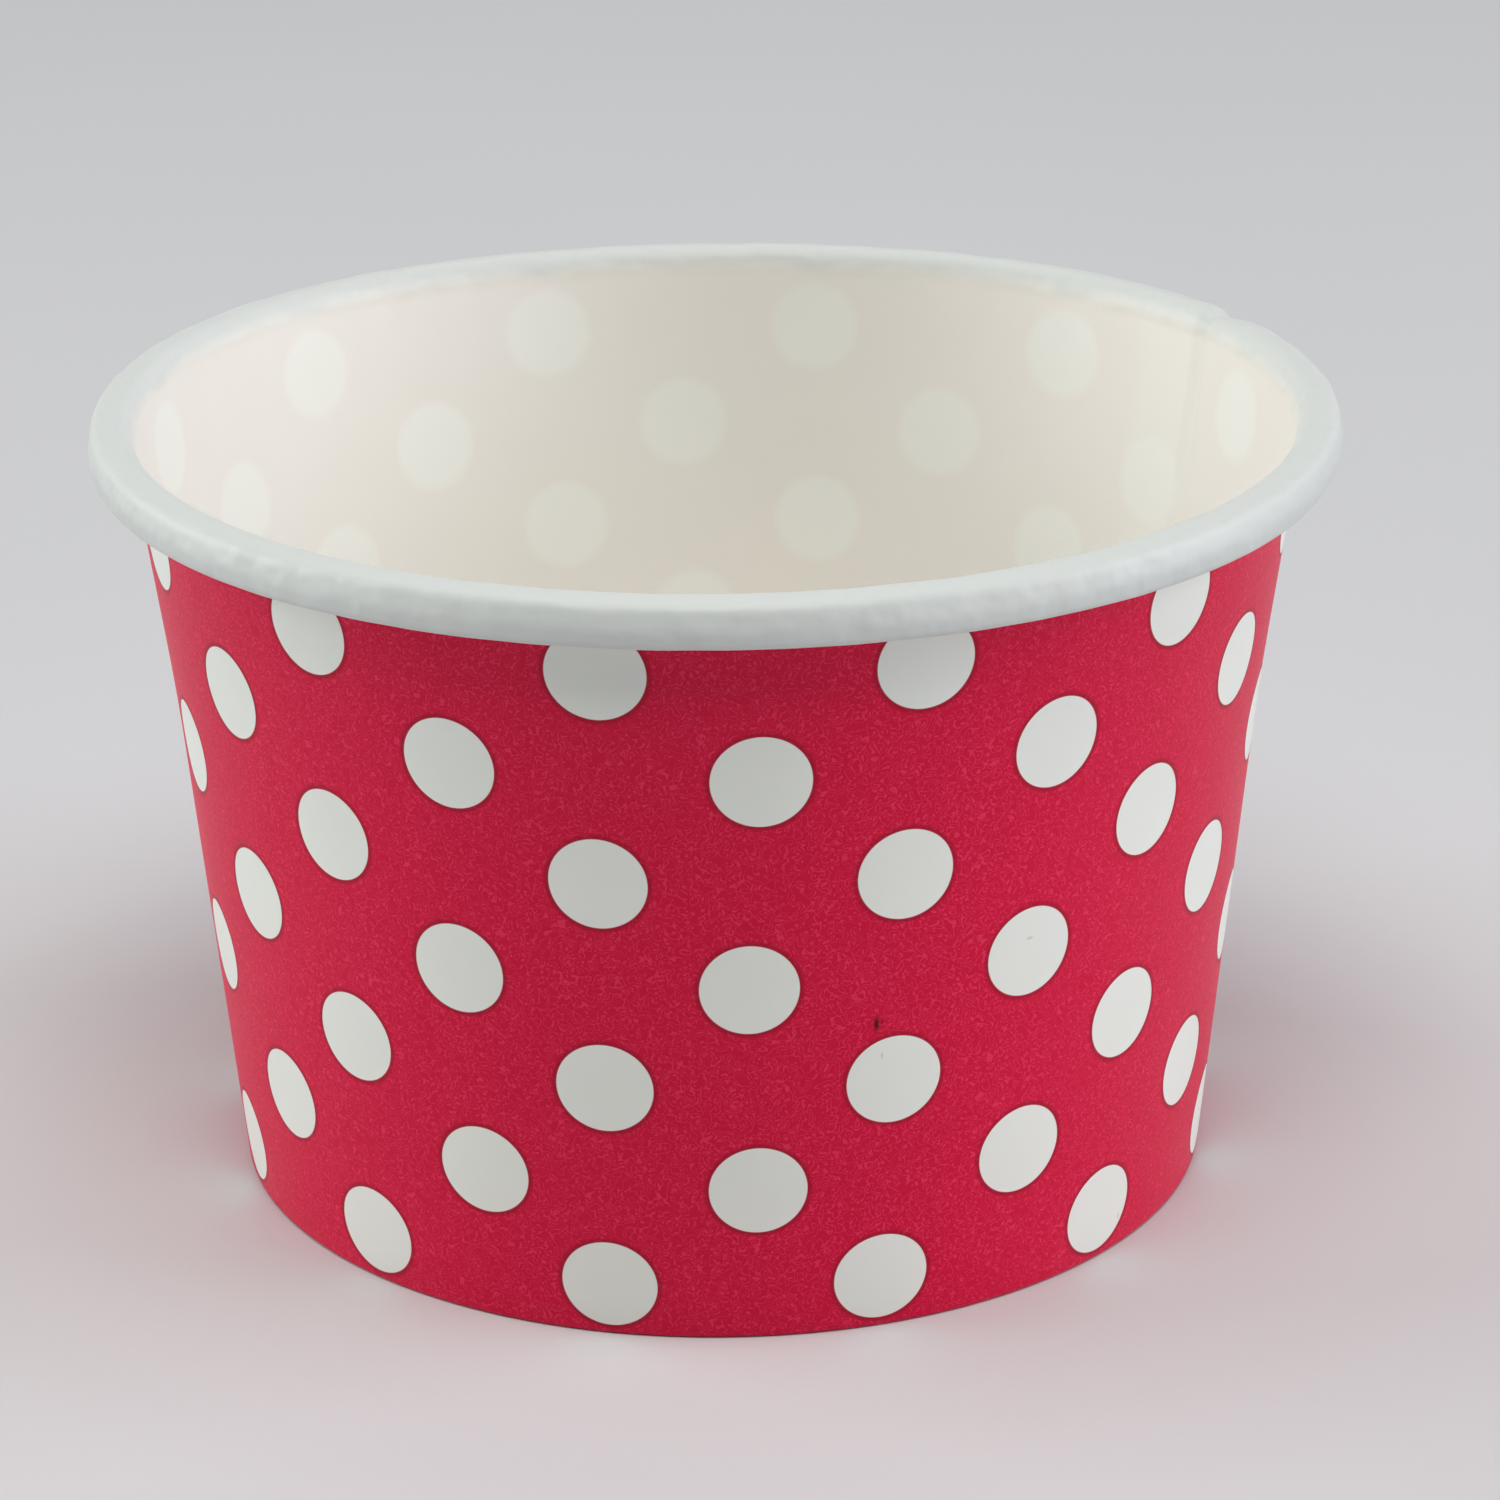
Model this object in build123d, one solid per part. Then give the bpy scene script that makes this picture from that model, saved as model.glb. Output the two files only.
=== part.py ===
from build123d import *
from math import asin, atan2, cos, degrees, hypot, sin, tan
import os

# Paper ice cream cup in millimetres. +Z is up, the table is at z = 0 and the cup's axis is on Z.
# The photographed front faces -Y. Sections are drawn in the XZ plane, with X as the radius.

# Overall sizes
top_diameter = 95.0        # across the outside of the rolled rim
base_diameter = 75.0       # where the outside of the wall, carried down straight, meets the table
cup_height = 60.0

# Board
board = 0.36               # thickness of the coated paperboard
seal_gap = 0.02            # between the skirt of the bottom and the board on each side of it

# Rolled rim
rim_width = 4.1            # across the roll, from the inside of the cup to its outermost point
curl_gap = 0.12            # air between the turns of the roll where the side seam passes through it
tightest_bend = 0.4        # smallest inside radius that the board is curled to

# Side seam
seam_azimuth = 28.5        # of the inner cut edge, in degrees from +X towards +Y
lap_width = 7.0            # board on board, measured round the middle of the wall
climb_width = 3.0          # over which the board climbs onto the lap, measured the same way

# Foot and bottom
fold_radius = 0.08         # inside radius of the two bends at the foot
recess_height = 7.5        # from the table up to the underside of the bottom
hem_clearance = 1.2        # from the top of the hem up to the underside of the bottom
corner_radius = 0.8        # inside radius where the bottom turns down into its skirt

# The wall leans out just enough to run into the roll as a tangent
roll_radius = rim_width / 2
roll_centre = Vector(top_diameter / 2 - roll_radius, cup_height - roll_radius)
spread = roll_centre.X - base_diameter / 2
lean = atan2(spread, roll_centre.Y) - asin((roll_radius - board) / hypot(spread, roll_centre.Y))
upward = Vector(sin(lean), cos(lean))
outward = Vector(cos(lean), -sin(lean))

# Each half turn of the roll is one step tighter than the last, down to the tightest bend
curl_step = board + curl_gap / 2
curl_turns = 1 + int((roll_radius - 2 * board - tightest_bend) / curl_step)

# The fold at the foot is two bends with a flat between them, which the cup stands on
bend_height = fold_radius + board
outer_bend = Vector(base_diameter / 2 + bend_height * tan(lean) - bend_height / cos(lean), bend_height)
inner_bend = outer_bend - Vector((board + 2 * seal_gap - 2 * fold_radius) / cos(lean), 0)
hem_length = (recess_height - hem_clearance - bend_height) / cos(lean)

# The seam's two widths as angles round the axis
middle_radius = base_diameter / 2 + cup_height / 2 * tan(lean)
lap_angle = degrees(lap_width / middle_radius)
climb_angle = degrees(climb_width / middle_radius)


def roll_curves(depth):
    """Half turns of the roll, from its tail inside to where it runs into the wall."""
    curves = []
    for turn in reversed(range(1, curl_turns)):
        is_lower = turn % 2
        centre = roll_centre + Vector(curl_step * is_lower, 0)
        curves.append(CenterArc(centre, roll_radius - turn * curl_step - depth, 180 * is_lower, 180))
    curves.append(CenterArc(roll_centre, roll_radius - depth, 0, 180 - degrees(lean)))
    return curves


def foot_curves(depth):
    """The two bends at the foot, the flat between them and the hem, which runs up beside the wall."""
    radius = fold_radius + depth
    drop = Vector(0, radius)
    hem_foot = inner_bend - outward * radius
    return [
        CenterArc(outer_bend, radius, -degrees(lean), degrees(lean) - 90),
        Line(outer_bend - drop, inner_bend - drop),
        CenterArc(inner_bend, radius, -90, -90 - degrees(lean)),
        Line(hem_foot, hem_foot + upward * hem_length),
    ]


def board_curves(depth):
    """The board's path from the tail of the roll to the top of the hem.

    depth is measured into the board from its plain face, which is the inside of the cup and the
    outside of the roll. The printed face is one board further in.
    """
    wall_top = roll_centre - outward * (roll_radius - depth)
    wall_foot = outer_bend + outward * (fold_radius + depth)
    return roll_curves(depth) + [Line(wall_top, wall_foot)] + foot_curves(depth)


def board_section(plain_depth, printed_depth, azimuth):
    """Section through the board between two depths, in the upright plane at an azimuth."""
    plain = board_curves(plain_depth)
    printed = board_curves(printed_depth)
    tail = Line(plain[0] @ 0, printed[0] @ 0)
    hem_edge = Line(plain[-1] @ 1, printed[-1] @ 1)
    section = make_face(plain + printed + [tail, hem_edge])
    return Rot(0, 0, azimuth) * (Plane.XZ * section)


def make_sidewall():
    """One board wrapped once round, with its end climbing over its start to form the sealed lap."""
    start = seam_azimuth
    single_layer = revolve(
        board_section(0, board, start + lap_angle), Axis.Z, 360 - lap_angle - climb_angle
    )
    lap = revolve(board_section(0, 2 * board, start), Axis.Z, lap_angle)
    climb = loft(
        [board_section(0, board, start - climb_angle), board_section(board, 2 * board, start)],
        ruled=True,
    )
    wrapped = single_layer + lap + climb
    table = Pos(0, 0, -cup_height / 2) * Cylinder(top_diameter, cup_height)
    return wrapped - table


def make_bottom():
    """Round board with its edge turned down into a skirt, which stands in the fold at the foot."""
    skirt_foot = outer_bend + outward * (fold_radius - seal_gap)
    top = recess_height + board
    curves = []
    ends = []
    for depth, height, radius in [(0, top, corner_radius + board), (board, recess_height, corner_radius)]:
        foot = skirt_foot - outward * depth
        corner = foot + upward * ((height - foot.Y) / cos(lean))
        path = FilletPolyline((0, height), corner, foot, radius=radius)
        curves += path.edges()
        ends += [path @ 0, path @ 1]
    curves += [Line(ends[0], ends[2]), Line(ends[1], ends[3])]
    return revolve(Plane.XZ * make_face(curves), Axis.Z, 360)


os.makedirs("parts", exist_ok=True)
export_step(make_sidewall(), "parts/sidewall.step")
export_step(make_bottom(), "parts/bottom.step")
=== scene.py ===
from math import cos, radians, sin
import bpy
import numpy as np
from mathutils import Matrix, Vector


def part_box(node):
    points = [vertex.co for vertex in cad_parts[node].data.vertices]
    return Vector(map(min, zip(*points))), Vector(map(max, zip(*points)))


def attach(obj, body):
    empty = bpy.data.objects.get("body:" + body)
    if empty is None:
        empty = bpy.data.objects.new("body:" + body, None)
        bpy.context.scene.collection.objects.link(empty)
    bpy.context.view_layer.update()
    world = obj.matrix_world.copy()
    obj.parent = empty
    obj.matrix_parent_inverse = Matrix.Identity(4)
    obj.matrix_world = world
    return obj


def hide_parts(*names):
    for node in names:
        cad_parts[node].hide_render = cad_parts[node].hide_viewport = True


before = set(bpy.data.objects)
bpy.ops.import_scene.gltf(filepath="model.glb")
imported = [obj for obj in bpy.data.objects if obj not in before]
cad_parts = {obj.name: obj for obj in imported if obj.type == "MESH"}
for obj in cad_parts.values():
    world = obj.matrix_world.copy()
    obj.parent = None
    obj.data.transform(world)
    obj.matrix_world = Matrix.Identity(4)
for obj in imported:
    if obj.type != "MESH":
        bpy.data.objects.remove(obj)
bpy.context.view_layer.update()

# The sidewall is one fan-shaped blank of white board, wrapped once round and heat-sealed along a lap.
# Its top edge is curled outward into the rim, so the roll shows the plain inside face. Its bottom
# edge is folded in and up behind the skirt of the bottom, so the hem shows the printed face.
mm = 0.001
lowest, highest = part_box("sidewall")
rim_radius = min(-lowest.x, -lowest.y, highest.x, highest.y)
cup_height = highest.z
foot_radius = 37.5 * mm
board = 0.36 * mm
seal_gap = 0.02 * mm
roll_radius = 2.05 * mm
curl_step = 0.42 * mm
fold_radius = 0.08 * mm
hem_top = 6.3 * mm

# The seam in degrees round the axis: its inner cut edge, from +X towards +Y, the lap, and the climb
# of the board onto the lap
seam_azimuth = 28.5
lap_angle = 9.85
climb_angle = 4.2

# The wall leans out until it meets the roll as a tangent
roll_centre = np.array([rim_radius - roll_radius, cup_height - roll_radius])
spread = roll_centre[0] - foot_radius
slant = np.hypot(spread, roll_centre[1])
lean = np.arctan2(spread, roll_centre[1]) - np.arcsin((roll_radius - board) / slant)
upward = np.array([np.sin(lean), np.cos(lean)])
outward = np.array([np.cos(lean), -np.sin(lean)])


def bend(centre, radius, first, sweep, rows, towards=1):
    """Rows round a bend, each as radius, height and the unit way into the board.

    A row is the centre plus the bend's radius times the cosine and sine of an angle that runs
    through the sweep. The board lies towards the centre, or away from it where towards is -1.
    """
    angle = first + sweep * np.linspace(0, 1, rows)
    spoke = np.stack([np.cos(angle), np.sin(angle)], axis=1)
    return np.hstack([centre + radius * spoke, -towards * spoke])


def straight(start, end, into, rows):
    """Rows on a straight stretch: the start plus an even share of the way to the end."""
    share = np.linspace(0, 1, rows)[:, None]
    return np.hstack([start + share * (end - start), np.tile(into, (rows, 1))])


def joined_rows(stretches):
    """The stretches end to end, each without its last row, which the next one repeats."""
    return np.vstack([rows[:-1] for rows in stretches[:-1]] + [stretches[-1]])


# The board's path, from the tail of the roll to the top of the hem
half_turn = np.pi
third_turn = bend(roll_centre, roll_radius - 2 * curl_step, 0, half_turn, rows=9)
second_turn = bend(roll_centre + [curl_step, 0], roll_radius - curl_step, half_turn, half_turn, rows=25)
outer_turn = bend(roll_centre, roll_radius, 0, half_turn - lean, rows=31)
wall_top = roll_centre - outward * roll_radius
bend_height = fold_radius + board
outer_bend = np.array([foot_radius + bend_height * np.tan(lean) - bend_height / np.cos(lean), bend_height])
inner_bend = outer_bend - [(board + 2 * seal_gap - 2 * fold_radius) / np.cos(lean), 0]
under_fold = np.array([0, fold_radius])
hem_foot = inner_bend - outward * fold_radius
hem_end = hem_foot + upward * (hem_top - hem_foot[1]) / np.cos(lean)
wall = straight(wall_top, outer_bend + outward * fold_radius, outward, rows=25)
outer_fold = bend(outer_bend, fold_radius, -lean, lean - np.pi / 2, rows=6, towards=-1)
flat = straight(outer_bend - under_fold, inner_bend - under_fold, np.array([0.0, -1.0]), rows=2)
inner_fold = bend(inner_bend, fold_radius, -np.pi / 2, -np.pi / 2 - lean, rows=6, towards=-1)
hem = straight(hem_foot, hem_end, -outward, rows=7)

# The die leaves the roll a little square: two shoulders stand proud, with a flatter outer side between
# them, and the underside is pressed in. Each is a bell curve of the angle round the roll, in degrees.
for turn, middle, width, proud in (
    (outer_turn, 46, 18, 0.23 * mm),
    (second_turn, -42, 17, 0.2 * mm),
    (second_turn, -88, 25, -0.15 * mm),
):
    spoke = -turn[:, 2:]
    from_middle = np.degrees(np.arctan2(spoke[:, 1], spoke[:, 0])) - middle
    turn[:, :2] += spoke * (proud * np.exp(-((from_middle / width) ** 2)))[:, None]
path = joined_rows([third_turn, second_turn, outer_turn, wall, outer_fold, flat, inner_fold, hem])


def smooth_step(share):
    """0 below 0, 1 above 1, and 3 s squared minus 2 s cubed between."""
    share = np.clip(share, 0, 1)
    return share * share * (3 - 2 * share)


# Near the top the wall flares outward into the roll, which narrows the roll's inner side by as much
flare = 0.6 * mm
flare_start = 36 * mm
risen = smooth_step((path[:, 1] - flare_start) / (roll_centre[1] - flare_start))
path[:, 0] += flare * risen * np.clip((roll_centre[0] - path[:, 0]) / roll_radius, 0, 1)

# The board goes once round and on over the lap. Before the lap it climbs by its own thickness. The
# columns of its grid stand at these angles from the inner cut edge, close together at the seam.
past_lap = 3
close_step = 0.33
wide_step = 0.95
climb_columns = 44
wrap = np.concatenate([
    np.arange(0, lap_angle + past_lap, close_step),
    np.arange(lap_angle + past_lap, 360 - climb_angle, wide_step),
    np.linspace(360 - climb_angle, 360 + lap_angle, climb_columns),
])
climbed = smooth_step((wrap - 360 + climb_angle) / climb_angle)
lift = climbed * (board + seal_gap)

# In the fold under the foot, the lap's two layers are pressed into the height of one. This is how many
# boards too thick for it they are, which ends within the fade past the lap.
press_fade = 1.5
on_lap = climbed + 1 - smooth_step((wrap - lap_angle) / press_fade)
pressed = on_lap * (board + seal_gap) / board

# The sealing jaw crushes the edge that shows inside the cup flat, hard against the board behind it
crushed_board = 0.01 * mm
crushed_gap = 0.002 * mm
crushed_angle = 2.2
crushed = (board + seal_gap - crushed_board - crushed_gap) * (1 - smooth_step(wrap / crushed_angle))

# Waves round the rim of a cup that was handled, and the fine ripples that the curling die leaves: how
# many to a turn, half of how far each pulls the rim, and the angle in radians that it starts from
inward_waves = ((2, 0.19 * mm, 0.63), (3, 0.14 * mm, -0.2))
downward_waves = ((2, 0.15 * mm, -3.0), (3, 0.14 * mm, 0.06))
ripples = ((23, 0.015 * mm, 0), (41, 0.015 * mm, 1), (67, 0.015 * mm, 2))


def pull(waves, angle):
    """The sum of the waves, which is never above 0.

    Each is half its travel times the cosine, less one, of its count times the angle plus its start.
    """
    return sum(half_travel * (np.cos(count * angle + start) - 1) for count, half_travel, start in waves)


def set_round(radius, height, azimuth):
    """Points at a radius, height and azimuth in degrees, a little out of round as a handled cup is.

    Waves pull the rim in and down, so none goes outside the round cup. They fade to nothing at the
    table with the height, and the ripples with its twelfth power, so these move only the rim.
    """
    front_angle = np.radians(azimuth + 90)
    fade = np.clip(height / roll_centre[1], 0, 1)
    ripple = fade**12 * pull(ripples, front_angle)
    radius = radius + fade * pull(inward_waves, front_angle) + ripple
    height = height + fade * pull(downward_waves, front_angle) + ripple
    turn = np.radians(azimuth)
    return np.stack([radius * np.cos(turn), radius * np.sin(turn), height], axis=-1)


def wrapped_face(depth):
    """The grid of one face: each row of the path moved into the board by the depth and the lift.

    At the crushed edge it is moved in at least as far as the crushed board. Lower down than one
    board, the height over the table is squashed where two layers lie in the fold.
    """
    into_board = np.maximum(depth + lift, crushed + crushed_board * depth / board)[None, :]
    radius = path[:, 0:1] + path[:, 2:3] * into_board
    height = path[:, 1:2] + path[:, 3:4] * into_board
    squashed = (height + pressed * board) / (1 + pressed)
    height = np.where(height < board, squashed, height)
    return set_round(radius, height, np.broadcast_to(seam_azimuth + wrap, radius.shape))


# Place on the flat blank: turns round the cup, with 1 at its front, and metres up from the table along
# the printed face, which go below 0 on the hem
printed_path = path[:, :2] + path[:, 2:] * board
down_path = np.concatenate([[0], np.cumsum(np.hypot(*np.diff(printed_path, axis=0).T))])
foot_row = np.argmin(np.abs(printed_path[:, 1] - bend_height) + np.abs(printed_path[:, 0] - foot_radius))
up_wall = down_path[foot_row] - down_path + printed_path[foot_row, 1] / np.cos(lean)
turns_round = (seam_azimuth + wrap + 90) / 360
blank = np.stack(np.broadcast_arrays(turns_round[None, :], up_wall[:, None]), axis=-1)


def srgb(hex_colour):
    """An sRGB hex colour as linear red, green, blue and alpha."""
    part = np.array([int(hex_colour[i:i + 2], 16) for i in (1, 3, 5)]) / 255
    linear = np.where(part <= 0.04045, part / 12.92, ((part + 0.055) / 1.055) ** 2.4)
    return (*linear.tolist(), 1.0)


def add_node(tree, kind, inputs=(), **settings):
    """Adds a node, sets its properties, and fills its inputs with values or other nodes' outputs.

    The inputs are a list in the order in which the node shows them, or they go by name. A node
    among them stands for the first output that it shows. A map range shows its value, the two ends
    that it maps from and the two that it maps to.
    """
    node = tree.nodes.new(kind)
    for name, value in settings.items():
        setattr(node, name, value)
    shown = [socket for socket in node.inputs if socket.enabled]
    if isinstance(inputs, dict):
        by_name = {socket.name: socket for socket in shown}
        shown = [by_name[name] for name in inputs]
        inputs = inputs.values()
    for socket, value in zip(shown, inputs):
        if isinstance(value, bpy.types.Node):
            value = next(output for output in value.outputs if output.enabled)
        if isinstance(value, bpy.types.NodeSocket):
            tree.links.new(value, socket)
        else:
            socket.default_value = value
    return node


def new_material(name):
    """An empty node material and its tree."""
    material = bpy.data.materials.new(name)
    material.use_nodes = True
    material.node_tree.nodes.clear()
    return material, material.node_tree


# The print's dots: twelve to a row, each row half a place on from the last, as the front view shows.
# A row starts so many degrees round from the front, and the first of these is for the row on the hem.
dots_round = 12
dot_radius = 3.54 * mm
first_row = 4.31 * mm / np.cos(lean)
row_pitch = 8.213 * mm / np.cos(lean)
row_starts = (3.9, -12.3, 4.0, -11.8, 3.1, -11.5, 4.2, -10.7)


def from_dot_centre(tree):
    """Adds the distance in metres, on the board, to the nearest dot's centre, and gives the place too.

    Rows are counted up the blank. A stepped ramp, with the row on the hem, -1, at the middle of its
    first step, holds where each row's first dot lies, as a share of the pitch round the cup. Half a
    pitch is added to it, so that none is less than 0, and to the place. The distance is the root of
    the squared way round and the squared way up.
    """
    uv_place = add_node(tree, "ShaderNodeUVMap", uv_map="blank")
    parts = add_node(tree, "ShaderNodeSeparateXYZ", [uv_place])
    turns, up = parts.outputs["X"], parts.outputs["Y"]
    row_place = add_node(
        tree, "ShaderNodeMath", [up, 1 / row_pitch, -first_row / row_pitch], operation="MULTIPLY_ADD"
    )
    row = add_node(tree, "ShaderNodeMath", [row_place], operation="ROUND")
    steps = len(row_starts)
    ramp_place = add_node(tree, "ShaderNodeMath", [row, 1 / steps, 1.5 / steps], operation="MULTIPLY_ADD")
    starts = add_node(tree, "ShaderNodeValToRGB", [ramp_place])
    starts.color_ramp.interpolation = "CONSTANT"
    while len(starts.color_ramp.elements) < steps:
        starts.color_ramp.elements.new(1)
    for number, (element, start) in enumerate(zip(starts.color_ramp.elements, row_starts)):
        share = start / (360 / dots_round) + 0.5
        element.position = number / steps
        element.color = (share, share, share, 1)
    round_place = add_node(tree, "ShaderNodeMath", [turns, dots_round, 0.5], operation="MULTIPLY_ADD")
    from_start = add_node(tree, "ShaderNodeMath", [round_place, starts], operation="SUBTRACT")
    round_share = add_node(tree, "ShaderNodeMath", [from_start, 0.5], operation="PINGPONG")
    reach = add_node(tree, "ShaderNodeMath", [up, np.sin(lean), foot_radius], operation="MULTIPLY_ADD")
    arc = add_node(tree, "ShaderNodeMath", [round_share, reach], operation="MULTIPLY")
    way_round = add_node(tree, "ShaderNodeMath", [arc, 2 * np.pi / dots_round], operation="MULTIPLY")
    up_share = add_node(tree, "ShaderNodeMath", [row_place, 0.5], operation="PINGPONG")
    way_up = add_node(tree, "ShaderNodeMath", [up_share, row_pitch], operation="MULTIPLY")
    way = add_node(tree, "ShaderNodeCombineXYZ", [way_round, way_up])
    distance = add_node(tree, "ShaderNodeVectorMath", [way], operation="LENGTH")
    return distance, turns, up


def blank_mark(tree, turns, up, front_angle, height, half_width, half_length, strength):
    """Adds a small oval mark at a place on the blank.

    It has its strength out to three tenths of the way to its edge, and fades to 0 at the edge.
    """
    turn_round = 2 * np.pi * (foot_radius + height * np.sin(lean)) / half_width
    place_round = [turns, turn_round, -turn_round * (1 + front_angle / 360)]
    aside = add_node(tree, "ShaderNodeMath", place_round, operation="MULTIPLY_ADD")
    place_up = [up, 1 / half_length, -height / half_length]
    along = add_node(tree, "ShaderNodeMath", place_up, operation="MULTIPLY_ADD")
    way = add_node(tree, "ShaderNodeCombineXYZ", [aside, along])
    from_middle = add_node(tree, "ShaderNodeVectorMath", [way], operation="LENGTH")
    return add_node(tree, "ShaderNodeMapRange", [from_middle, 1.0, 0.3, 0.0, strength])


# The outside of the board: clay-coated, offset printed in one red and varnished, which leaves a weak
# satin sheen. The ink lies in fine worm-like mottles of about 0.3 mm, with a thin darker line round
# each dot where it pools against the edge. The dots are the bare coating, faintly cloudy as pulp is.
printed_face, tree = new_material("varnished_red_print")
distance, turns, up = from_dot_centre(tree)
object_place = add_node(tree, "ShaderNodeTexCoord").outputs["Object"]
mottle = add_node(
    tree,
    "ShaderNodeTexNoise",
    {"Vector": object_place, "Scale": 1 / (0.6 * mm), "Detail": 0.0, "Distortion": 0.8},
)
cloud = add_node(tree, "ShaderNodeTexNoise", {"Vector": object_place, "Scale": 1 / (6 * mm), "Detail": 1.0})
# The noise is cut into level bands, and the worms run along the edges of the bands
band_count = 4.0
bands = add_node(tree, "ShaderNodeMath", [mottle, band_count], operation="MULTIPLY")
from_band_edge = add_node(tree, "ShaderNodeMath", [bands, 0.5], operation="PINGPONG")
worms = add_node(tree, "ShaderNodeMapRange", [from_band_edge, 0.18, 0.05, 0.0, 1.0])
ink = add_node(tree, "ShaderNodeMix", [worms, srgb("#D1003A"), srgb("#E42B56")], data_type="RGBA")
pooled = add_node(
    tree,
    "ShaderNodeMapRange",
    [distance, dot_radius + 0.5 * mm, dot_radius + 0.15 * mm, 0.0, 0.6],
    interpolation_type="SMOOTHSTEP",
)
inked = add_node(tree, "ShaderNodeMix", [pooled, ink, srgb("#92001F")], data_type="RGBA")
bare = add_node(
    tree,
    "ShaderNodeMapRange",
    [distance, dot_radius + 0.03 * mm, dot_radius - 0.05 * mm, 0.0, 1.0],
    interpolation_type="SMOOTHSTEP",
)
coating = add_node(tree, "ShaderNodeMix", [cloud, srgb("#EAEEE7"), srgb("#EEF1EA")], data_type="RGBA")
printed = add_node(tree, "ShaderNodeMix", [bare, inked, coating], data_type="RGBA")

# Scuffs seen on the front: one dark nick in the ink, with a smear beside it, and three faint grey
# ticks on the dots. Each is so many degrees round from the front, at a height up the blank, with its
# half width, half length, strength and colour.
scuffs = (
    (16.03, 25.59 * mm, 0.26 * mm, 0.8 * mm, 0.95, "#3A0512"),
    (16.6, 25.7 * mm, 0.14 * mm, 0.45 * mm, 0.5, "#5A0A1C"),
    (16.76, 22.93 * mm, 0.09 * mm, 0.4 * mm, 0.35, "#6E7270"),
    (33.01, 30.18 * mm, 0.4 * mm, 0.17 * mm, 0.3, "#6E7270"),
    (51.68, 2.72 * mm, 0.12 * mm, 0.38 * mm, 0.3, "#6E7270"),
)
for front_angle, height, half_width, half_length, strength, colour in scuffs:
    mark = blank_mark(tree, turns, up, front_angle, height, half_width, half_length, strength)
    printed = add_node(tree, "ShaderNodeMix", [mark, printed, srgb(colour)], data_type="RGBA")

# The hem is knurled where a ribbed wheel pressed it against the skirt. The relief, in millimetres, is
# that of the ribs and of the ink, which is hardly raised.
rib_pitch = 1.26 * mm
rib_depth = 0.1
ink_relief = 0.005
rib_count = round(2 * np.pi * inner_bend[0] / rib_pitch)
rib_place = add_node(tree, "ShaderNodeMath", [turns, rib_count], operation="MULTIPLY")
rib = add_node(tree, "ShaderNodeMath", [rib_place, 0.5], operation="PINGPONG")
rib_height = add_node(tree, "ShaderNodeMapRange", [up, -1.2 * mm, -2.0 * mm, 0.0, 2 * rib_depth])
ribs = add_node(tree, "ShaderNodeMath", [rib, rib_height], operation="MULTIPLY")
raised = add_node(tree, "ShaderNodeMath", [mottle, ink_relief, ribs], operation="MULTIPLY_ADD")
relief = add_node(tree, "ShaderNodeBump", {"Height": raised, "Strength": 1.0, "Distance": 1.0 * mm})
shader = add_node(
    tree,
    "ShaderNodeBsdfPrincipled",
    {"Base Color": printed, "Roughness": 0.44, "Specular IOR Level": 0.18, "Normal": relief},
)
add_node(tree, "ShaderNodeOutputMaterial", {"Surface": shader})

# The inside of the board: white with a thin melted film of polyethylene, smooth and faintly glossy.
# The red print shows through it as a warm cream tint, paler behind the dots and behind the double
# board of the lap. There is no print behind the roll, so the film there is a cooler white, and it is
# also painted a darker grey than on the wall, which is painted shade on the rim.
plain_face, tree = new_material("film_coated_white_board")
distance, turns, up = from_dot_centre(tree)
object_place = add_node(tree, "ShaderNodeTexCoord").outputs["Object"]
cloud = add_node(tree, "ShaderNodeTexNoise", {"Vector": object_place, "Scale": 1 / (14 * mm), "Detail": 1.0})
behind_ink = add_node(
    tree,
    "ShaderNodeMapRange",
    [distance, dot_radius - 0.5 * mm, dot_radius + 0.6 * mm, 0.0, 1.0],
    interpolation_type="SMOOTHSTEP",
)
print_top = 59.6 * mm
below_roll = add_node(
    tree,
    "ShaderNodeMapRange",
    [up, print_top + 0.1 * mm, print_top - 1.6 * mm, 0.0, 1.0],
    interpolation_type="SMOOTHSTEP",
)
lap_end = (seam_azimuth + lap_angle + 90) / 360
lap_blur = 0.004
lap_show = 0.7
past_lap_end = [turns, lap_end - lap_blur, lap_end + lap_blur, lap_show, 1.0]
single_board = add_node(tree, "ShaderNodeMapRange", past_lap_end)
show = add_node(tree, "ShaderNodeMath", [behind_ink, below_roll], operation="MULTIPLY")
show_single = add_node(tree, "ShaderNodeMath", [show, single_board], operation="MULTIPLY")
tint = add_node(tree, "ShaderNodeMix", [cloud, srgb("#EDEAE2"), srgb("#EEEBE6")], data_type="RGBA")
# Over the roll the film is painted a darker grey than on the wall: painted shade on the rim, on top of the
# real cooler white where no print lies behind it
film_with_painted_roll_shade = add_node(tree, "ShaderNodeMix", [below_roll, srgb("#CFD4D1"), srgb("#F0F1EB")], data_type="RGBA")
shown = add_node(tree, "ShaderNodeMix", [show_single, film_with_painted_roll_shade, tint], data_type="RGBA")

# The curling die leaves faint lumps on the roll. The grain of the board under the film, of about
# 0.1 mm, is too fine to show, so it is drawn at 0.5 mm. Both are heights in millimetres.
lump_depth = 0.19
grain_depth = 0.004
lumps = add_node(tree, "ShaderNodeTexNoise", {"Vector": object_place, "Scale": 1 / (1.9 * mm), "Detail": 1.0})
grain = add_node(tree, "ShaderNodeTexNoise", {"Vector": object_place, "Scale": 1 / (0.5 * mm), "Detail": 1.0})
lump_height = add_node(tree, "ShaderNodeMapRange", [below_roll, 0.0, 1.0, lump_depth, 0.0])
lumpy_roll = add_node(tree, "ShaderNodeMath", [lumps, lump_height], operation="MULTIPLY")
raised = add_node(tree, "ShaderNodeMath", [grain, grain_depth, lumpy_roll], operation="MULTIPLY_ADD")
relief = add_node(tree, "ShaderNodeBump", {"Height": raised, "Strength": 1.0, "Distance": 1.0 * mm})
shader = add_node(
    tree, "ShaderNodeBsdfPrincipled", {"Base Color": shown, "Roughness": 0.5, "IOR": 1.5, "Normal": relief}
)
add_node(tree, "ShaderNodeOutputMaterial", {"Surface": shader})

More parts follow.
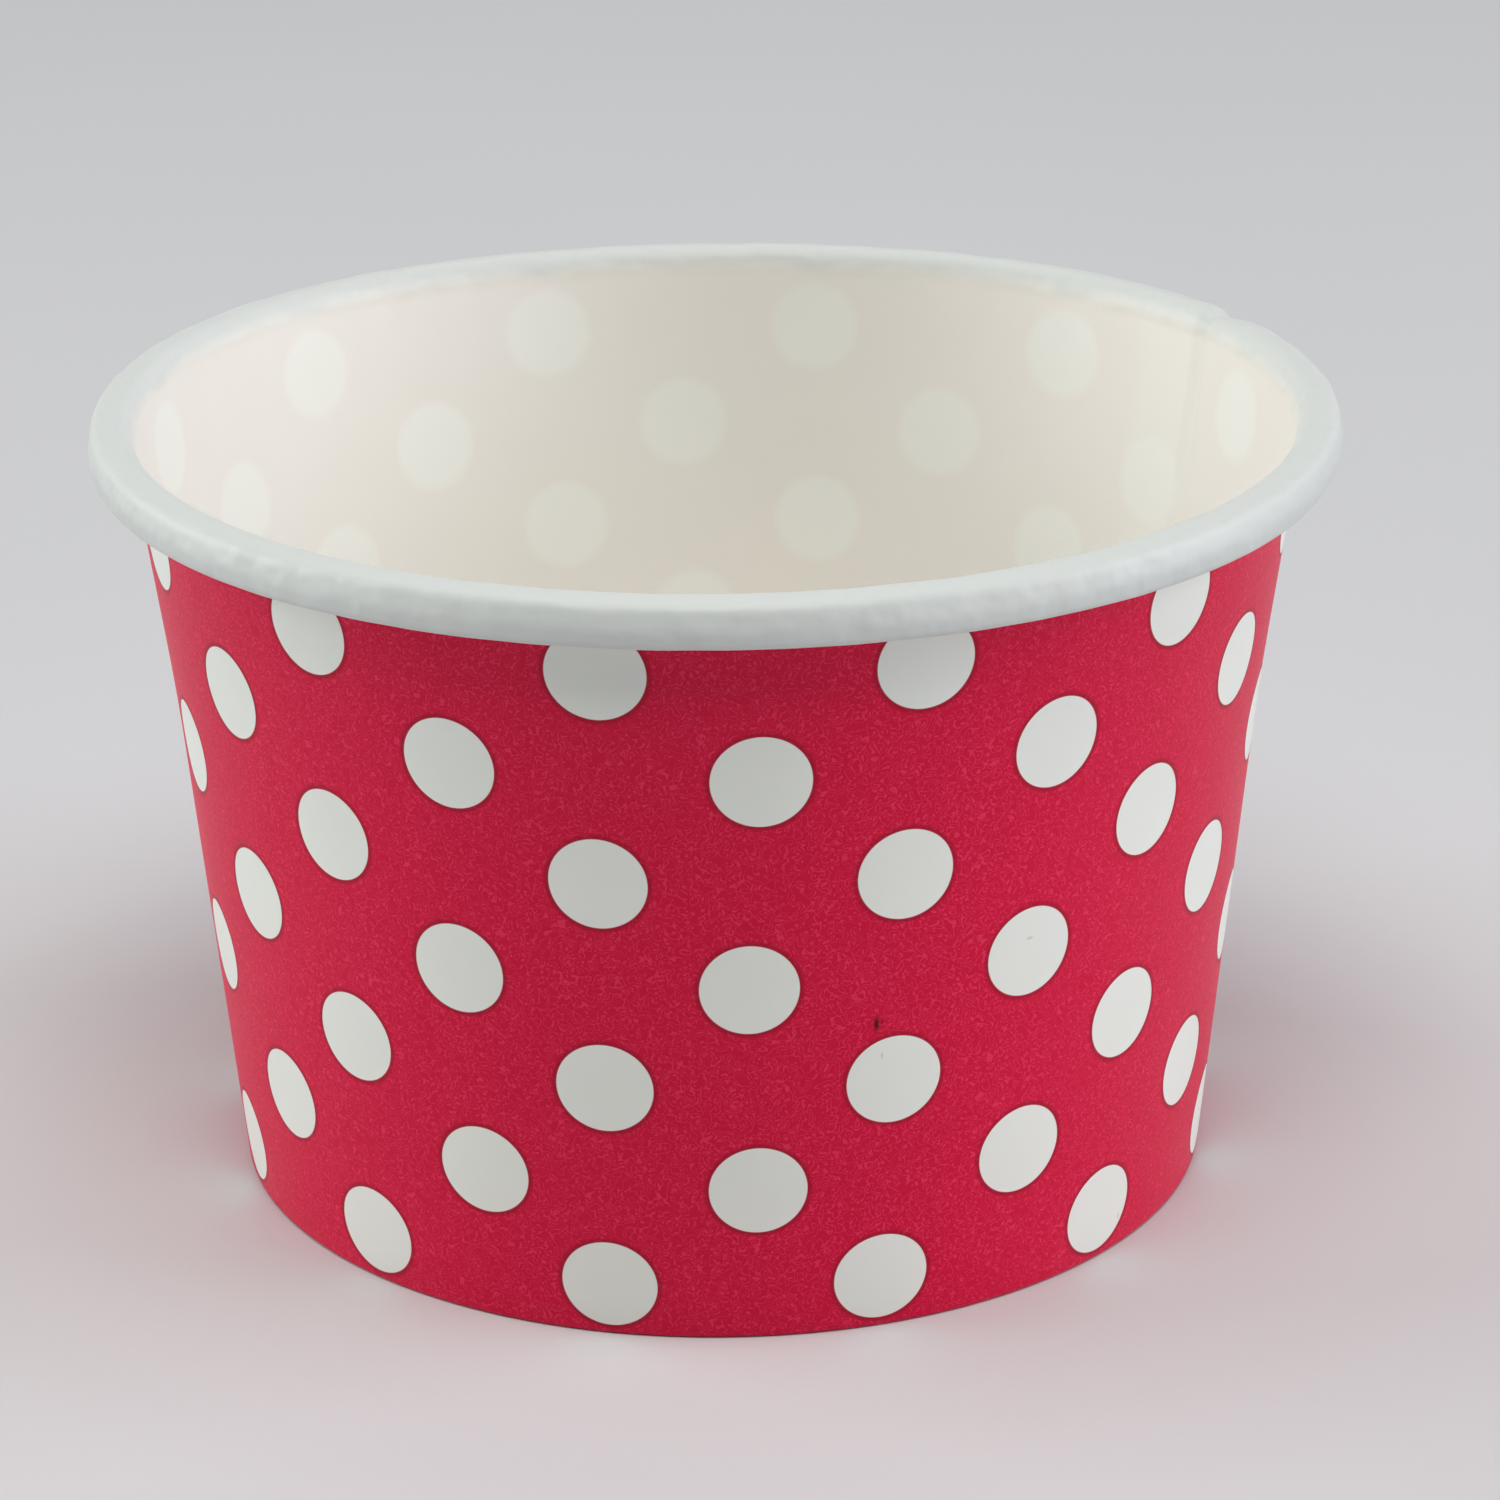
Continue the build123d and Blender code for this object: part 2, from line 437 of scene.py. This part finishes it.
# The cut edges: bare pulp between the two coatings, matt and a little darker. Its fibres, of about
# 0.03 mm, are too fine to show, so the grain is drawn at 0.2 mm.
cut_edge, tree = new_material("cut_paperboard")
object_place = add_node(tree, "ShaderNodeTexCoord").outputs["Object"]
fibre = add_node(tree, "ShaderNodeTexNoise", {"Vector": object_place, "Scale": 1 / (0.2 * mm), "Detail": 3.0})
pulp = add_node(tree, "ShaderNodeMix", [fibre, srgb("#D9D3C6"), srgb("#EAE6DC")], data_type="RGBA")
shader = add_node(tree, "ShaderNodeBsdfPrincipled", {"Base Color": pulp, "Roughness": 0.85})
add_node(tree, "ShaderNodeOutputMaterial", {"Surface": shader})


def quads(first, second):
    """Quads between two lists of vertex numbers that run side by side."""
    corners = [first[..., :-1], second[..., :-1], second[..., 1:], first[..., 1:]]
    return np.stack(corners, axis=-1).reshape(-1, 4)


def board_object(name, front, back, blank, closed_round, materials):
    """A piece of board from the grids of its two faces, rows by columns, with its edges closed.

    The normal of the front grid is the way down its rows crossed with the way along them. blank
    gives each grid point's place on the flat blank. The materials are those of the front, the back
    and the cut edges, but the back's film also runs over the cut edge at the first column. The
    shading is smooth, apart from edges of over 50 degrees.
    """
    rows, columns = front.shape[:2]
    front_numbers = np.arange(rows * columns).reshape(rows, columns)
    back_numbers = front_numbers + rows * columns
    front_slot, back_slot, edge_slot = range(3)
    if closed_round:
        front_numbers = np.hstack([front_numbers, front_numbers[:, :1]])
        back_numbers = np.hstack([back_numbers, back_numbers[:, :1]])
        caps = [front_numbers[0, :-1].tolist(), back_numbers[0, -2::-1].tolist()]
        edges = [(edge_slot, quads(front_numbers[-1], back_numbers[-1]))]
    else:
        caps = []
        edges = [
            (edge_slot, quads(back_numbers[0], front_numbers[0])),
            (edge_slot, quads(front_numbers[-1], back_numbers[-1])),
            (edge_slot, quads(back_numbers[:, -1], front_numbers[:, -1])),
            (back_slot, quads(front_numbers[:, 0], back_numbers[:, 0])),
        ]
    groups = [
        (front_slot, quads(front_numbers[:-1], front_numbers[1:])),
        (back_slot, quads(back_numbers[1:], back_numbers[:-1])),
        *edges,
    ]
    faces = np.vstack([group for slot, group in groups]).tolist() + caps
    slots = np.repeat([slot for slot, group in groups], [len(group) for slot, group in groups]).tolist()
    slots += [front_slot, back_slot][:len(caps)]
    mesh = bpy.data.meshes.new(name)
    mesh.from_pydata(np.vstack([front.reshape(-1, 3), back.reshape(-1, 3)]), [], faces)
    mesh.polygons.foreach_set("material_index", slots)
    vertex_of_corner = np.zeros(len(mesh.loops), dtype=np.int32)
    mesh.loops.foreach_get("vertex_index", vertex_of_corner)
    places = np.tile(blank.reshape(-1, 2), (2, 1))[vertex_of_corner]
    mesh.uv_layers.new(name="blank").data.foreach_set("uv", places.astype(np.float32).ravel())
    mesh.shade_smooth()
    mesh.set_sharp_from_angle(angle=np.radians(50))
    for material in materials:
        mesh.materials.append(material)
    piece = bpy.data.objects.new(name, mesh)
    bpy.context.scene.collection.objects.link(piece)
    return piece


sidewall = board_object(
    "sidewall_board", wrapped_face(board), wrapped_face(0), blank,
    closed_round=False, materials=[printed_face, plain_face, cut_edge],
)
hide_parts("sidewall")
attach(sidewall, "root")

# The bottom is a disc of the same white board with its edge turned down into a skirt. The skirt is
# sealed between the wall and the hem, which carries the disc clear of the table.
recess_height = 7.5 * mm
corner_radius = 0.8 * mm
cap_radius = 0.6 * mm
bottom_top = recess_height + board
turned_radius = corner_radius + board
skirt_foot = outer_bend + outward * (fold_radius - seal_gap)
corner_height = bottom_top - turned_radius
corner_reach = skirt_foot[0] - (turned_radius + (corner_height - skirt_foot[1]) * outward[1]) / outward[0]
corner_centre = np.array([corner_reach, corner_height])
disc_middle = np.array([cap_radius, bottom_top])
disc = straight(disc_middle, corner_centre + [0, turned_radius], np.array([0.0, -1.0]), rows=24)
corner = bend(corner_centre, turned_radius, np.pi / 2, -np.pi / 2 - lean, rows=12)
skirt = straight(corner_centre + outward * turned_radius, skirt_foot, -outward, rows=6)
bottom_path = joined_rows([disc, corner, skirt])
bottom_azimuth = np.arange(0, 360, 0.5)


def bottom_face(depth):
    """The grid of one face of the bottom: each row of its path moved into the board by the depth."""
    radius = bottom_path[:, 0:1] + bottom_path[:, 2:3] * depth
    height = bottom_path[:, 1:2] + bottom_path[:, 3:4] * depth
    return set_round(*np.broadcast_arrays(radius, height, bottom_azimuth))


# Place on the flat disc: metres from its middle, across and up
row_steps = np.hypot(*np.diff(bottom_path[:, :2], axis=0).T)
outward_path = cap_radius + np.concatenate([[0], np.cumsum(row_steps)])
bottom_turn = np.radians(bottom_azimuth)
spokes = np.stack([np.cos(bottom_turn), np.sin(bottom_turn)], axis=-1)
bottom_blank = outward_path[:, None, None] * spokes[None]

# Bottom board: the same pulp and film as the sidewall, unprinted, so it is a cleaner white. Its grain
# too is drawn as coarse as 0.5 mm to show. Fine radial pleats of uneven width stand at the corner,
# where the flat disc was drawn down into its skirt. The relief is in millimetres.
bottom_board, tree = new_material("unprinted_white_board")
object_place = add_node(tree, "ShaderNodeTexCoord").outputs["Object"]
grain = add_node(tree, "ShaderNodeTexNoise", {"Vector": object_place, "Scale": 1 / (0.5 * mm), "Detail": 1.0})
cloud = add_node(tree, "ShaderNodeTexNoise", {"Vector": object_place, "Scale": 1 / (9 * mm), "Detail": 1.0})
white = add_node(tree, "ShaderNodeMix", [cloud, srgb("#E8E6DE"), srgb("#ECEAE3")], data_type="RGBA")
uv_place = add_node(tree, "ShaderNodeUVMap", uv_map="blank")
from_middle = add_node(tree, "ShaderNodeVectorMath", [uv_place], operation="LENGTH")
parts = add_node(tree, "ShaderNodeSeparateXYZ", [uv_place])
turn = add_node(tree, "ShaderNodeMath", [parts.outputs["Y"], parts.outputs["X"]], operation="ARCTAN2")
pleat_pitch = 0.9 * mm
pleat_depth = 0.25
pleat_place = add_node(tree, "ShaderNodeMath", [turn, corner_reach / pleat_pitch], operation="MULTIPLY")
pleats = add_node(
    tree, "ShaderNodeTexNoise", {"W": pleat_place, "Scale": 1.0, "Detail": 0.0}, noise_dimensions="1D"
)
towards_corner = [from_middle, corner_reach - 1.5 * mm, corner_reach + 0.5 * mm, 0.0, pleat_depth]
pleat_height = add_node(tree, "ShaderNodeMapRange", towards_corner)
pleated = add_node(tree, "ShaderNodeMath", [pleats, pleat_height], operation="MULTIPLY")
raised = add_node(tree, "ShaderNodeMath", [grain, grain_depth, pleated], operation="MULTIPLY_ADD")
relief = add_node(tree, "ShaderNodeBump", {"Height": raised, "Strength": 1.0, "Distance": 1.0 * mm})
shader = add_node(
    tree, "ShaderNodeBsdfPrincipled", {"Base Color": white, "Roughness": 0.5, "IOR": 1.5, "Normal": relief}
)
add_node(tree, "ShaderNodeOutputMaterial", {"Surface": shader})

bottom = board_object(
    "bottom_board", bottom_face(0), bottom_face(board), bottom_blank,
    closed_round=True, materials=[bottom_board, bottom_board, cut_edge],
)
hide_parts("bottom")
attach(bottom, "root")

# The floor is one plain pale sheet. Well away from the cup, what looks at it sees it fade into the
# same pale colour as the backdrop, so no view shows its far edge or the light on it under the lamps.
backdrop_colour = srgb("#C6C7CA")
floor_half = 20.0
fade_start = 0.5
fade_end = 1.3
floor_material, tree = new_material("pale_floor")
object_place = add_node(tree, "ShaderNodeTexCoord").outputs["Object"]
tone = add_node(tree, "ShaderNodeTexNoise", {"Vector": object_place, "Scale": 1 / (90 * mm), "Detail": 1.0})
pale = add_node(tree, "ShaderNodeMix", [tone, srgb("#CDCFD1"), srgb("#D1D2D4")], data_type="RGBA")
sheet = add_node(tree, "ShaderNodeBsdfPrincipled", {"Base Color": pale, "Roughness": 0.8})
from_cup = add_node(tree, "ShaderNodeVectorMath", [object_place], operation="LENGTH")
faded = add_node(
    tree, "ShaderNodeMapRange", [from_cup, fade_start, fade_end, 0.0, 1.0], interpolation_type="SMOOTHSTEP"
)


def looking_ray(tree):
    """Adds a factor that is 1 for camera, glossy and transmission rays, and 0 for the light's bounces."""
    ray = add_node(tree, "ShaderNodeLightPath").outputs
    camera_and_glossy = [ray["Is Camera Ray"], ray["Is Glossy Ray"]]
    either = add_node(tree, "ShaderNodeMath", camera_and_glossy, operation="MAXIMUM")
    return add_node(tree, "ShaderNodeMath", [either, ray["Is Transmission Ray"]], operation="MAXIMUM")


seen_faded = add_node(tree, "ShaderNodeMath", [faded, looking_ray(tree)], operation="MULTIPLY")
far_floor = add_node(tree, "ShaderNodeEmission", {"Color": backdrop_colour, "Strength": 1.0})
shader = add_node(tree, "ShaderNodeMixShader", [seen_faded, sheet, far_floor])
add_node(tree, "ShaderNodeOutputMaterial", {"Surface": shader})
floor_mesh = bpy.data.meshes.new("floor")
floor_corners = [(x * floor_half, y * floor_half, 0) for x, y in ((-1, -1), (1, -1), (1, 1), (-1, 1))]
floor_mesh.from_pydata(floor_corners, [], [(0, 1, 2, 3)])
floor_mesh.materials.append(floor_material)
floor = bpy.data.objects.new("floor", floor_mesh)
bpy.context.scene.collection.objects.link(floor)


def soft_light(name, front_angle, height, distance, size, power, colour):
    """A square soft light round the cup, aimed at its middle, at an angle from the photographed front."""
    light = bpy.data.lights.new(name, "AREA")
    light.shape = "SQUARE"
    light.size = size
    light.energy = power
    light.color = srgb(colour)[:3]
    lamp = bpy.data.objects.new(name, light)
    turn = np.radians(front_angle)
    place = Vector((distance * np.sin(turn), -distance * np.cos(turn), height))
    from_cup = place - Vector((0, 0, cup_height / 2))
    lamp.matrix_world = Matrix.Translation(place) @ from_cup.to_track_quat("Z", "Y").to_matrix().to_4x4()
    bpy.context.scene.collection.objects.link(lamp)


# Light: a soft source on each side, two above, and a dim room, which is seen as a pale backdrop. The
# side lights stand far out, so that the floor is lit evenly.
soft_light("left_softbox", -99, height=1.2, distance=4.0, size=3.0, power=126, colour="#FFFFFF")
soft_light("right_softbox", 86, height=1.4, distance=4.0, size=3.0, power=124, colour="#FAF8FF")
soft_light("front_top_softbox", 0, height=1.0, distance=0.45, size=0.6, power=6.5, colour="#FFFDF9")
soft_light("back_top_softbox", 180, height=1.0, distance=0.35, size=0.8, power=2.1, colour="#FFFFFF")
world = bpy.data.worlds.new("pale_room")
bpy.context.scene.world = world
world.use_nodes = True
world.node_tree.nodes.clear()
tree = world.node_tree
dim_room = add_node(tree, "ShaderNodeBackground", {"Color": srgb("#F4F6F7"), "Strength": 0.05})
backdrop = add_node(tree, "ShaderNodeBackground", {"Color": backdrop_colour, "Strength": 1.0})
room = add_node(tree, "ShaderNodeMixShader", [looking_ray(tree), dim_room, backdrop])
add_node(tree, "ShaderNodeOutputWorld", {"Surface": room})

# The camera stands where the photograph was taken from, turned by a hair about its own line of sight.
lens = 117.94
camera_distance = 379.5 * mm
camera_elevation = radians(20.897)
camera_roll = radians(-0.438)
aim = Vector((2.35 * mm, 0, 31.26 * mm))
forward = Vector((0, cos(camera_elevation), -sin(camera_elevation)))
level_right = Vector((1, 0, 0))
level_up = level_right.cross(forward)
right = cos(camera_roll) * level_right + sin(camera_roll) * level_up
camera_data = bpy.data.cameras.new("camera")
camera_data.lens = lens
camera_data.sensor_width = 36
camera_data.clip_start = 0.01
camera_data.clip_end = 20
camera = bpy.data.objects.new("camera", camera_data)
camera_axes = Matrix((right, right.cross(forward), -forward)).transposed().to_4x4()
camera.matrix_world = Matrix.Translation(aim - camera_distance * forward) @ camera_axes
bpy.context.scene.collection.objects.link(camera)
bpy.context.scene.camera = camera
bpy.context.scene.view_settings.view_transform = "Standard"
